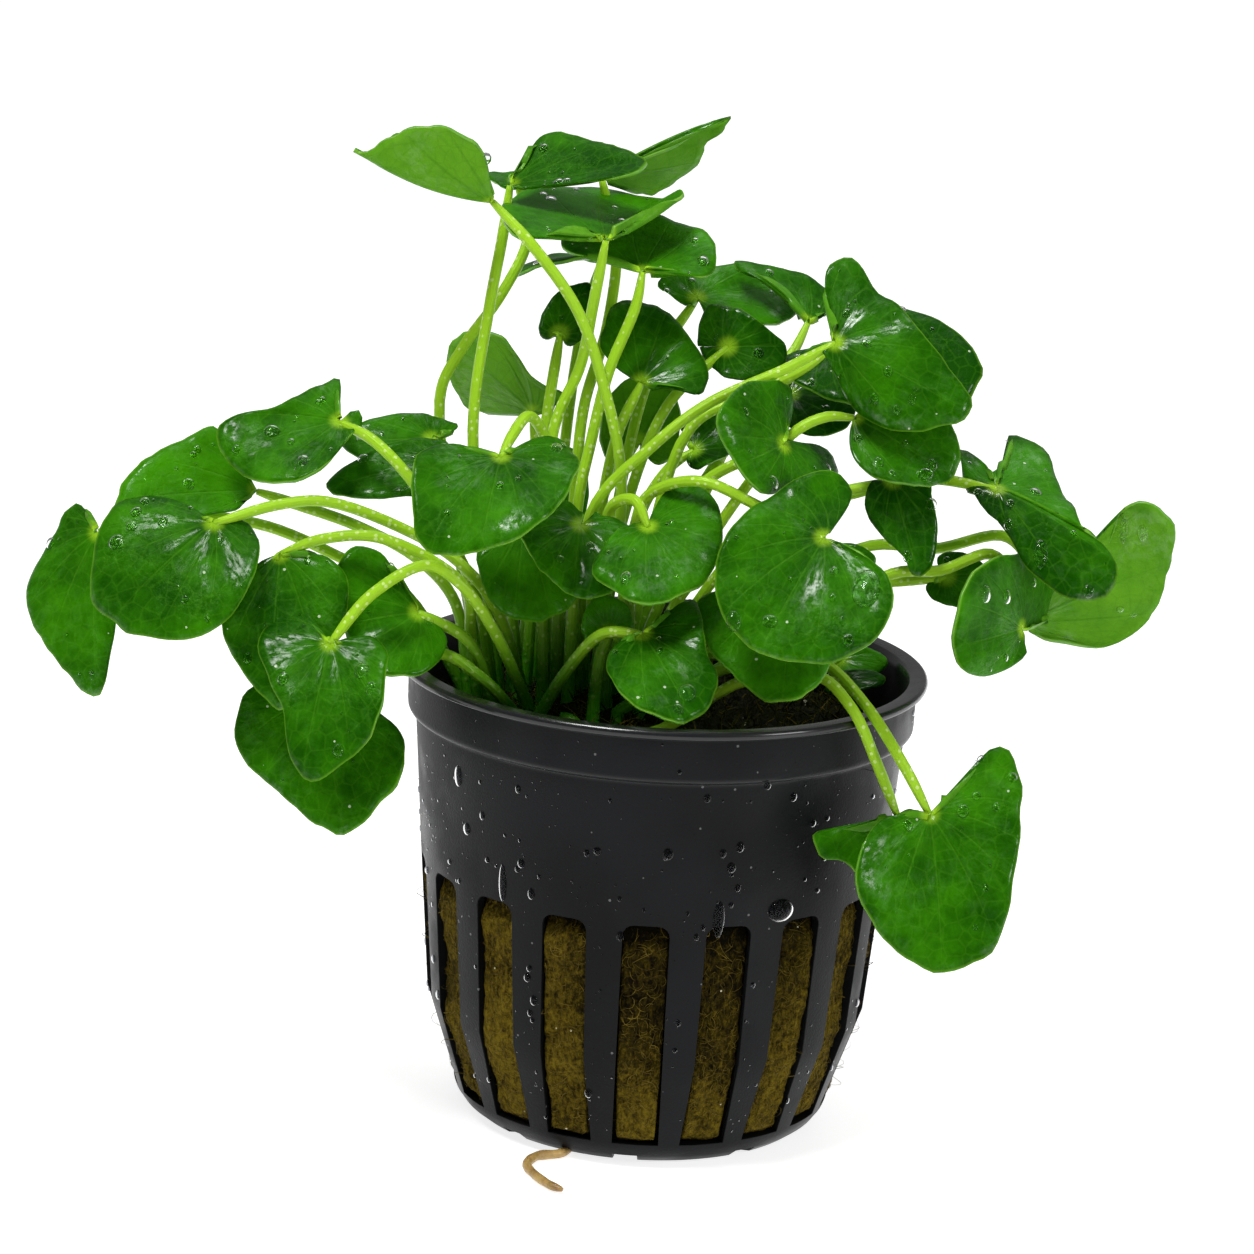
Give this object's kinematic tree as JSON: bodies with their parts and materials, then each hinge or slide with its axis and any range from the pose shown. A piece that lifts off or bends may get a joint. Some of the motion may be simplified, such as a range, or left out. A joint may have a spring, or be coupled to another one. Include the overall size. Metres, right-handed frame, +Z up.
{
  "type": "potted nymphoides",
  "caption": "Bushy aquarium plant with heart-shaped floating-heart leaves on thin arching stalks, growing from rockwool in a small slotted black net pot.",
  "frame": {"origin": "centre of the pot's underside, on the surface it stands on", "axes": "+Z up along the pot's axis; the front of the plant faces -Y; +X is to the right seen from the front"},
  "size_m": [0.1223, 0.0585, 0.1096],
  "materials": {
    "pot": "satin black with water drops",
    "rockwool": "matted mineral fibre, stained brown and olive",
    "moss": "damp moss and soil",
    "root": "damp root skin",
    "leaf": "glossy upper side, satin yellow-green underside and stalk"
  },
  "bodies": {
    "root": {"net_pot": "pot", "rockwool_plug": "rockwool", "moss_mound": "moss", "root": "root", "leaf_01": "leaf", "leaf_02": "leaf", "leaf_03": "leaf", "leaf_04": "leaf", "leaf_05": "leaf", "leaf_06": "leaf", "leaf_07": "leaf", "leaf_08": "leaf", "leaf_09": "leaf", "leaf_10": "leaf", "leaf_11": "leaf", "leaf_12": "leaf", "leaf_13": "leaf", "leaf_14": "leaf", "leaf_15": "leaf", "leaf_16": "leaf", "leaf_17": "leaf", "leaf_18": "leaf", "leaf_20": "leaf", "leaf_21": "leaf", "leaf_22": "leaf", "leaf_23": "leaf", "leaf_24": "leaf", "leaf_25": "leaf", "leaf_26": "leaf", "leaf_27": "leaf", "leaf_28": "leaf", "leaf_29": "leaf", "leaf_30": "leaf", "leaf_31": "leaf", "leaf_32": "leaf", "leaf_33": "leaf", "leaf_34": "leaf", "leaf_35": "leaf", "leaf_36": "leaf", "leaf_37": "leaf", "leaf_38": "leaf", "leaf_39": "leaf", "leaf_41": "leaf", "leaf_42": "leaf", "leaf_43": "leaf", "leaf_44": "leaf", "leaf_45": "leaf", "leaf_46": "leaf", "leaf_47": "leaf", "leaf_48": "leaf", "leaf_49": "leaf", "leaf_52": "leaf", "leaf_53": "leaf"}
  },
  "joints": []
}
